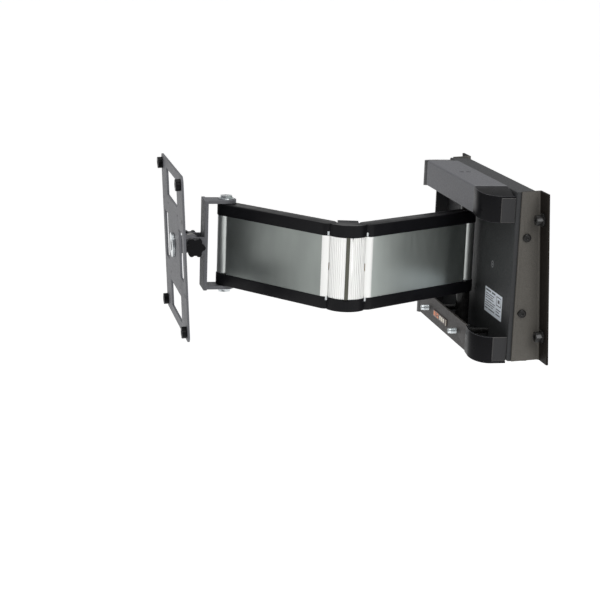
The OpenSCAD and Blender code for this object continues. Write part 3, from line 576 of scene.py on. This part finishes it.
for link, place in (("rear", REAR_LINK), ("front", FRONT_LINK)):
    bm = copied(link + "_beam", place)
    ease(bm, LINK_BREAK, 2, sharp())
    length = reach(link + "_beam", place)[1].x
    # painted highlight: faces on the round end at the elbow take the brighter metal
    for f in bm.faces:
        f.material_index = 1 if f.calc_center_median().x > length - HIGHLIGHTED_ROUND_END else 0
    # painted shade: the front beam takes the darker mix
    anodised = beam_alu if link == "rear" else beam_alu_painted_shade
    close_piece(bm, link + "_beam_extrusion", [anodised, ribbed_alu_and_end_highlight], [link + "_beam"], place)
    for edge_name, sign in (("top", 1), ("bottom", -1)):
        node = f"{link}_{edge_name}_cap"
        low, high = reach(node, place)
        bm = copied(node, place)
        ease(bm, CAP_ROUND, 3, rim_at(high.z if sign > 0 else low.z))
        ease(bm, LINK_BREAK, 2, sharp(60))
        close_piece(bm, node + "_moulding", [cap_plastic], [node], place)

# %% [markdown]
# ## Links: barrels
# At its shaft end each beam holds a turned barrel with a flat tongue that fits into the beam. The lathe
# gives the bore and the chamfers at both ends, and the tongue is a milled block that starts inside the
# barrel's wall, so the two read as one piece of metal.

# %% Turn the barrels
BARREL_BORE, BARREL_CHAMFER = 6.05 * MM, 0.6 * MM
TONGUE_START = 1.5 * BARREL_BORE
TONGUE_THICK, TONGUE_TALL = 1.4, 0.92


def tube_profile(bore, r, z0, z1, chamfer):
    """The closed profile of a tube with both outer edges chamfered."""
    return [(bore, z0), (r - chamfer, z0), (r, z0 + chamfer), (r, z1 - chamfer), (r - chamfer, z1),
            (bore, z1), (bore, z0)]


for node, place in (("shoulder_barrel", REAR_LINK), ("wrist_barrel", FRONT_LINK)):
    low, high = reach(node, place)
    r, tall = -low.x, high.z - low.z
    body = turned(tube_profile(BARREL_BORE, r, low.z, high.z, BARREL_CHAMFER), 64)
    tongue = bmesh.new()
    bmesh.ops.create_cube(tongue, size=1.0)
    size = Vector((high.x - TONGUE_START, r * TONGUE_THICK, tall * TONGUE_TALL))
    bmesh.ops.scale(tongue, verts=tongue.verts, vec=size)
    middle = Vector(((high.x + TONGUE_START) / 2, 0, (low.z + high.z) / 2))
    bm = gathered([(body, Matrix.Identity(4)), (tongue, Matrix.Translation(middle))])
    # painted shade: the barrel takes the darker aluminium mix
    close_piece(bm, node + "_turned", [barrel_alu_painted_shade], [node], place)

# %% [markdown]
# ## Knuckle: caps and covers
# The knuckle joins the links and hides their gears. It has a moulded black cap above and below, a cover
# on the inside of the bend, and a soft dark strip in the seam of the shell. The caps have the same broad
# round on their outer rim as the links' caps, a little smaller.

# %% Shape the knuckle caps and covers
KNUCKLE_ROUND, STRIP_BREAK = 1.3 * MM, 0.4 * MM

for node, sign in (("knuckle_top_cap", 1), ("knuckle_bottom_cap", -1)):
    low, high = reach(node, KNUCKLE)
    bm = copied(node, KNUCKLE)
    ease(bm, KNUCKLE_ROUND, 3, rim_at(high.z if sign > 0 else low.z))
    ease(bm, LINK_BREAK, 2, sharp(60))
    close_piece(bm, node + "_moulding", [cap_plastic], [node], KNUCKLE)

for node, finish in (("knuckle_inner_cover", cap_plastic), ("knuckle_seam_strip", seam_rubber)):
    bm = copied(node, KNUCKLE)
    ease(bm, STRIP_BREAK)
    close_piece(bm, node + "_strip", [finish], [node], KNUCKLE)

# %% [markdown]
# ## Knuckle: ribbed shells
# The shell is an extrusion in two halves, with round ribs side by side round the bend. The nodes already
# have every rib, so their copies are used as they are. Only the shading is smoothed, up to a wider angle
# than elsewhere, so that each rib looks round while the grooves between them stay crisp.

# %% Shape the ribbed shells
for node in ("knuckle_rear_shell", "knuckle_front_shell"):
    bm = copied(node, KNUCKLE)
    close_piece(bm, node + "_ribs", [ribbed_alu_and_end_highlight], [node], KNUCKLE, smooth_under=40)

# %% [markdown]
# ## Everything that keeps its node's shape
# Shafts, plates, gears, washers and the head are already as they should be, except for the hard edges
# of all but the gears. Those are copied with a light break on each edge, and get a finish. The gears keep
# their nodes as they are and only take brass.

# %% Ease the plain parts
plain = (
    (zinc, 0.3, "shoulder_shaft", "knuckle_plates", "elbow_shafts", "idler_shafts",
     "wrist_shaft", "wrist_washers", "tilt_pin", "roll_nut"),
    (coat_grey, 0.6, "wrist_yoke", "tilt_hub", "screen_plate"),
    (gloss_plastic, 0.8, "near_tilt_knob", "far_tilt_knob"),
    (gloss_plastic, 0.4, "screen_spacers"),
    (nylon, 0.2, "rear_elbow_bushes", "front_elbow_bushes", "tilt_washers"),
)
for finish, width, *names in plain:
    for node in names:
        bm = copied(node)
        ease(bm, width * MM, 2, sharp())
        close_piece(bm, node + "_piece", [finish], [node])

GEARS = ("rear_gear", "front_gear", "rear_idler_gear", "front_idler_gear")
for node in GEARS:
    frame["nodes"][node].data.materials.clear()
    frame["nodes"][node].data.materials.append(gear_brass)
print("brass on", len(GEARS), "gears")

# %% [markdown]
# ## Spacers on the shoulder shaft
# The spacers above and below the arm are turned tubes with a blackened skin. A lathe profile gives the
# bore and the small chamfers on both ends, which a plain tube would not have.

# %% Turn the shoulder spacers
SPACER_BORE, SPACER_R, SPACER_CHAMFER = 6.02 * MM, 9.5 * MM, 0.6 * MM


def heights(node, place):
    """The pieces of a node along z: a list of (lowest, highest) for each run of vertices."""
    back = place.inverted()
    zs = sorted({round((back @ v.co).z, 5) for v in frame["nodes"][node].data.vertices})
    return [(zs[i], zs[i + 1]) for i in range(0, len(zs) - 1, 2)]


for number, (z0, z1) in enumerate(heights("shoulder_spacers", REAR_LINK)):
    bm = turned(tube_profile(SPACER_BORE, SPACER_R, z0, z1, SPACER_CHAMFER), 56)
    close_piece(bm, f"shoulder_spacer_{number + 1}", [black_oxide], ["shoulder_spacers"], REAR_LINK)

# %% [markdown]
# ## Screws and bolts
# The wall bolts have a hexagon head with the corners turned off, a socket, and a washer. The side screws
# have a low domed head. The heads are copies of the nodes whose rims get a broad round bevel, since the
# sockets are already there. The skin is worn off their small edges, which have the brighter finish,
# partly that wear and partly a painted glint.

# %% Shape the bolt and screw heads
HEX_ROUND, HEX_SIDE = 1.1 * MM, 5 * MM
DOME_ROUND, SOCKET_R = 1.5 * MM, 4 * MM
WORN_EDGE = 0.3 * MM

low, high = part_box("wall_bolts")
bm = copied("wall_bolts")
ease(bm, HEX_ROUND, 3, lambda e: all(near(v.co.y, low.y) for v in e.verts) and e.calc_length() > HEX_SIDE)
ease_and_highlight_rims(bm, WORN_EDGE, 2, sharp(40))
close_piece(bm, "wall_bolt_set", [black_oxide, oxide_rim_wear_and_glint], ["wall_bolts"])

for node in ("pivot_screws", "clamp_screws"):
    low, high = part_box(node)
    bm = copied(node)
    middle = Vector((0, (low.y + high.y) / 2, (low.z + high.z) / 2))
    ease(bm, DOME_ROUND, 5, lambda e: all(near(abs(v.co.x), high.x) for v in e.verts)
         and (Vector((0, e.verts[0].co.y, e.verts[0].co.z)) - middle).length > SOCKET_R)
    ease_and_highlight_rims(bm, WORN_EDGE, 2, sharp())
    close_piece(bm, node + "_set", [black_oxide, oxide_rim_wear_and_glint], [node])

# %% [markdown]
# ## Jack screws
# The two screws that level the chassis are zinc threaded rods with a socket in the outer end. A real
# thread is rolled as a helix. Here it is a row of rings on a lathe profile, because a ring and a helix
# look the same at this pitch, and a ring is a closed solid. The part behind the tray's front lies in the
# dark there, and that shade is painted on it as black oxide. A real rod is probably zinc all along.

# %% Turn the jack screws
THREAD, THREAD_DEPTH, THREAD_START = 1.25 * MM, 0.55 * MM, 1.2 * MM
PLAIN_ENDS = 4 * MM
INNER_CHAMFER, OUTER_CHAMFER = 0.6 * MM, 0.5 * MM
ROD_SOCKET_R, SOCKET_WALL, SOCKET_DEEP = 2.1 * MM, 2.6 * MM, 3.0 * MM
TRAY_SHEET = 1 * MM


def threaded_rod(r, length):
    """A rod along z from 0, threaded all along, with a socket in its top end."""
    core, count = r - THREAD_DEPTH, int((length - PLAIN_ENDS) / THREAD)
    profile = [(0, 0), (core - INNER_CHAMFER, 0), (core, INNER_CHAMFER)]
    for i in range(count):
        z = THREAD_START + i * THREAD
        profile += [(core, z), (r, z + 0.5 * THREAD), (r, z + 0.62 * THREAD)]
    profile += [(core, THREAD_START + count * THREAD), (core, length - OUTER_CHAMFER),
                (core - OUTER_CHAMFER, length), (ROD_SOCKET_R, length),
                (ROD_SOCKET_R, length - SOCKET_WALL), (0, length - SOCKET_DEEP)]
    return turned(profile, 36)


for node in ("near_jack_screw", "far_jack_screw"):
    low, high = reach(node, CHASSIS)
    axis_x, axis_z = (low.x + high.x) / 2, (low.z + high.z) / 2
    out = Matrix.Translation((axis_x, high.y, axis_z)) @ Matrix.Rotation(math.radians(90), 4, "X")
    bm = gathered([(threaded_rod((high.x - low.x) / 2, high.y - low.y), out)])
    tray_back = reach("lower_bracket", CHASSIS)[0].y + TRAY_SHEET
    # painted shade: faces behind the tray's front take black oxide
    for f in bm.faces:
        f.material_index = 1 if f.calc_center_median().y > tray_back else 0
    close_piece(bm, node + "_rod", [zinc, black_oxide], [node], CHASSIS, smooth_under=50)

# %% [markdown]
# ## Inks and enamels
# The tray carries a small enamelled badge, and the face plate a printed label. They bear no words here.
# Print is made of thin raised slabs, which keeps its edges crisp at any distance, where a pattern in the
# material would blur. Their sizes are fractions of the plate or sheet that they sit on.

# %% Mix the inks and cut the slabs
INK = 0.03 * MM
BAR = 3 * INK


def slab(x0, x1, z0, z1, y, thick):
    """A thin slab with its front face at y, between two places along x and two heights."""
    bm = bmesh.new()
    bmesh.ops.create_cube(bm, size=1.0)
    bmesh.ops.scale(bm, verts=bm.verts, vec=(x1 - x0, thick, z1 - z0))
    return bm, Matrix.Translation(((x0 + x1) / 2, y + thick / 2, (z0 + z1) / 2))


def slabs_on(low, high, thick, plan):
    """Slabs on the front of a box, from (left, right, bottom, top) as fractions of its width and height."""
    wide, tall = high.x - low.x, high.z - low.z
    return [slab(low.x + a * wide, low.x + b * wide, low.z + c * tall, low.z + d * tall,
                 low.y - INK, thick) for a, b, c, d in plan]


label_paper = moulded("label_paper", (0.66, 0.70, 0.76), (0.74, 0.78, 0.84), (0.45, 0.6), 0.000012)
label_ink = moulded("label_ink", (0.06, 0.065, 0.08), (0.11, 0.115, 0.13), (0.5, 0.62), 0.000008)
badge_enamel = moulded("badge_enamel", (0.030, 0.012, 0.008), (0.050, 0.020, 0.013), (0.3, 0.42),
                       0.00001)
badge_orange = moulded("badge_orange", (0.55, 0.14, 0.04), (0.70, 0.20, 0.06), (0.35, 0.5), 0.00001)
badge_cream = moulded("badge_cream", (0.60, 0.56, 0.46), (0.72, 0.68, 0.58), (0.35, 0.5), 0.00001)
print("inks and enamels mixed")

# %% [markdown]
# ## Label
# The label is a thin sheet with a hint of thickness at its edge. Rows of grey strokes of uneven length
# stand for its lines of print, and a plain square with a few strokes below it for its right side.

# %% Print the label
LABEL_EDGE = 0.08 * MM

low, high = reach("rating_label", CHASSIS)
bm = copied("rating_label", CHASSIS)
ease(bm, LABEL_EDGE, 2, sharp())
close_piece(bm, "label_sheet", [label_paper], ["rating_label"], CHASSIS)

# Each row is its height, its thickness and the start and end of each stroke in turn.
rows = ((0.90, 0.07, (0.04, 0.34, 0.40, 0.60)), (0.76, 0.035, (0.04, 0.22, 0.25, 0.55)),
        (0.67, 0.035, (0.04, 0.30, 0.33, 0.47)), (0.58, 0.035, (0.04, 0.16, 0.19, 0.52)),
        (0.46, 0.035, (0.04, 0.42, 0.45, 0.62)), (0.37, 0.035, (0.04, 0.25, 0.28, 0.58)),
        (0.28, 0.035, (0.04, 0.36, 0.39, 0.50)), (0.16, 0.05, (0.04, 0.20, 0.24, 0.60)))
strokes = [(a, b, level - thick / 2, level + thick / 2) for level, thick, ends in rows
           for a, b in zip(ends[::2], ends[1::2])]
strokes += [(0.68, 0.95, 0.86, 0.90), (0.68, 0.95, 0.52, 0.56), (0.68, 0.70, 0.56, 0.86),
            (0.93, 0.95, 0.56, 0.86), (0.76, 0.87, 0.64, 0.78), (0.68, 0.95, 0.36, 0.40),
            (0.68, 0.88, 0.26, 0.30), (0.68, 0.92, 0.14, 0.19)]
close_piece(gathered(slabs_on(low, high, 2 * INK, strokes)), "label_print", [label_ink],
            ["rating_label"], CHASSIS, stands_in=False)

# %% [markdown]
# ## Badge
# The badge is a small plate with a dark enamel face. Plain orange and cream bars take the place of any
# mark. They are a little thicker than ink, as filled enamel is.

# %% Enamel the badge
BADGE_EDGE = 0.35 * MM

low, high = reach("badge_plate", CHASSIS)
bm = copied("badge_plate", CHASSIS)
ease(bm, BADGE_EDGE, 3, sharp())
close_piece(bm, "badge_enamelled", [badge_enamel], ["badge_plate"], CHASSIS)
for name, finish, bars in (
        ("badge_bars_orange", badge_orange, ((0.05, 0.17, 0.16, 0.84), (0.21, 0.25, 0.16, 0.84),
                                             (0.29, 0.41, 0.16, 0.42), (0.29, 0.41, 0.58, 0.84))),
        ("badge_bars_cream", badge_cream, ((0.48, 0.58, 0.20, 0.80), (0.61, 0.71, 0.20, 0.80),
                                           (0.74, 0.84, 0.20, 0.80), (0.95, 0.985, 0.06, 0.94)))):
    close_piece(gathered(slabs_on(low, high, BAR, bars)), name, [finish], ["badge_plate"], CHASSIS,
                stands_in=False)

# %% [markdown]
# ## Stamped ring
# A press leaves a small ring and a dot in the face plate. They take the lighter edge mix of the coat, a
# painted highlight on their raised edges. Both are low turned shapes whose sides slope a little, like
# those of a real stamp.

# %% Raise the stamped ring
STAMP_X, STAMP_Z = 72 * MM, -1.5 * MM

low, high = reach("face_plate", CHASSIS)
ring = turned([(3.4 * MM, 0), (4.8 * MM, 0), (4.5 * MM, 0.35 * MM), (3.7 * MM, 0.35 * MM),
               (3.4 * MM, 0)], 48)
dot = turned([(0, 0), (1.3 * MM, 0), (1.1 * MM, 0.3 * MM), (0, 0.35 * MM)], 24)
place = Matrix.Translation((STAMP_X, low.y, STAMP_Z)) @ Matrix.Rotation(math.radians(90), 4, "X")
# painted highlight: the ring and dot take the lighter edge coat
close_piece(gathered([(ring, place), (dot, place.copy())]), "face_stamp", [grey_coat_painted_highlight],
            ["face_plate"], CHASSIS, smooth_under=40, stands_in=False)

# %% [markdown]
# ## Studio: the floor
# A plain pale floor lies well below the mount, like a roll of white paper in a studio. It gives off a little
# light of its own, so that it reads as white and has no visible edge.

# %% Lay the floor
FLOOR_SIZE, FLOOR_Z, FLOOR_GLOW = 60.0, -1.3, 0.55

floor_finish, tree, shader = new_finish("pale_floor", specular=0.1)
shader.inputs["Emission Color"].default_value = (1, 1, 1, 1)
shader.inputs["Emission Strength"].default_value = FLOOR_GLOW
colour_from(tree, shader, grain(tree, 3, 2.0), (0.86, 0.86, 0.86), (0.90, 0.90, 0.90))
roughness_from(tree, shader, grain(tree, 9, 2.0), 0.7, 0.85)
floor_mesh = bpy.data.meshes.new("studio_floor")
bm = bmesh.new()
bmesh.ops.create_grid(bm, x_segments=2, y_segments=2, size=FLOOR_SIZE)
bmesh.ops.translate(bm, verts=bm.verts, vec=(0, 0, FLOOR_Z))
bm.to_mesh(floor_mesh)
bm.free()
floor_mesh.materials.append(floor_finish)
studio_floor = bpy.data.objects.new("studio_floor", floor_mesh)
bpy.context.scene.collection.objects.link(studio_floor)
print("floor at", FLOOR_Z, "m")

# %% [markdown]
# ## Studio: the lights
# A large soft box near the camera lights the side of the wall unit, and one above lights the tops of the
# brackets. The room side stays darker, as it would behind a screen.

# %% Hang the lights
def softbox(name, place, target, size, power):
    light = bpy.data.lights.new(name, "AREA")
    light.shape = "RECTANGLE"
    light.size, light.size_y = size
    light.energy = power
    lamp = bpy.data.objects.new(name, light)
    aim = (Vector(target) - Vector(place)).to_track_quat("-Z", "Y")
    lamp.matrix_world = Matrix.Translation(place) @ aim.to_matrix().to_4x4()
    bpy.context.scene.collection.objects.link(lamp)
    print(name, power, "W")


softbox("key_box", (2.4, 0.5, 1.5), (0.0, -0.1, 0.0), (1.2, 1.2), 34)
softbox("top_box", (0.1, -0.5, 2.0), (0.0, -0.15, 0.0), (1.6, 1.6), 20)

# %% [markdown]
# ## Studio: the world
# The world is white to the camera, so that nothing but the mount is seen, and about half as bright to
# every other ray. That keeps the black plastics deep, as dark cards out of view would in a real studio.

# %% Light the world
WORLD_LIGHT, WORLD_SEEN = 0.52, 1.05

world = bpy.data.worlds.new("studio_world")
world.use_nodes = True
world_tree = world.node_tree
background = world_tree.nodes["Background"]
paths = world_tree.nodes.new("ShaderNodeLightPath")
shade = world_tree.nodes.new("ShaderNodeMapRange")
shade.inputs["To Min"].default_value = WORLD_LIGHT
shade.inputs["To Max"].default_value = WORLD_SEEN
world_tree.links.new(paths.outputs["Is Camera Ray"], shade.inputs["Value"])
world_tree.links.new(shade.outputs["Result"], background.inputs["Strength"])
background.inputs["Color"].default_value = (1, 1, 1, 1)
bpy.context.scene.world = world
bpy.context.scene.view_settings.view_transform = "Standard"
print("world", WORLD_LIGHT, "seen as", WORLD_SEEN)
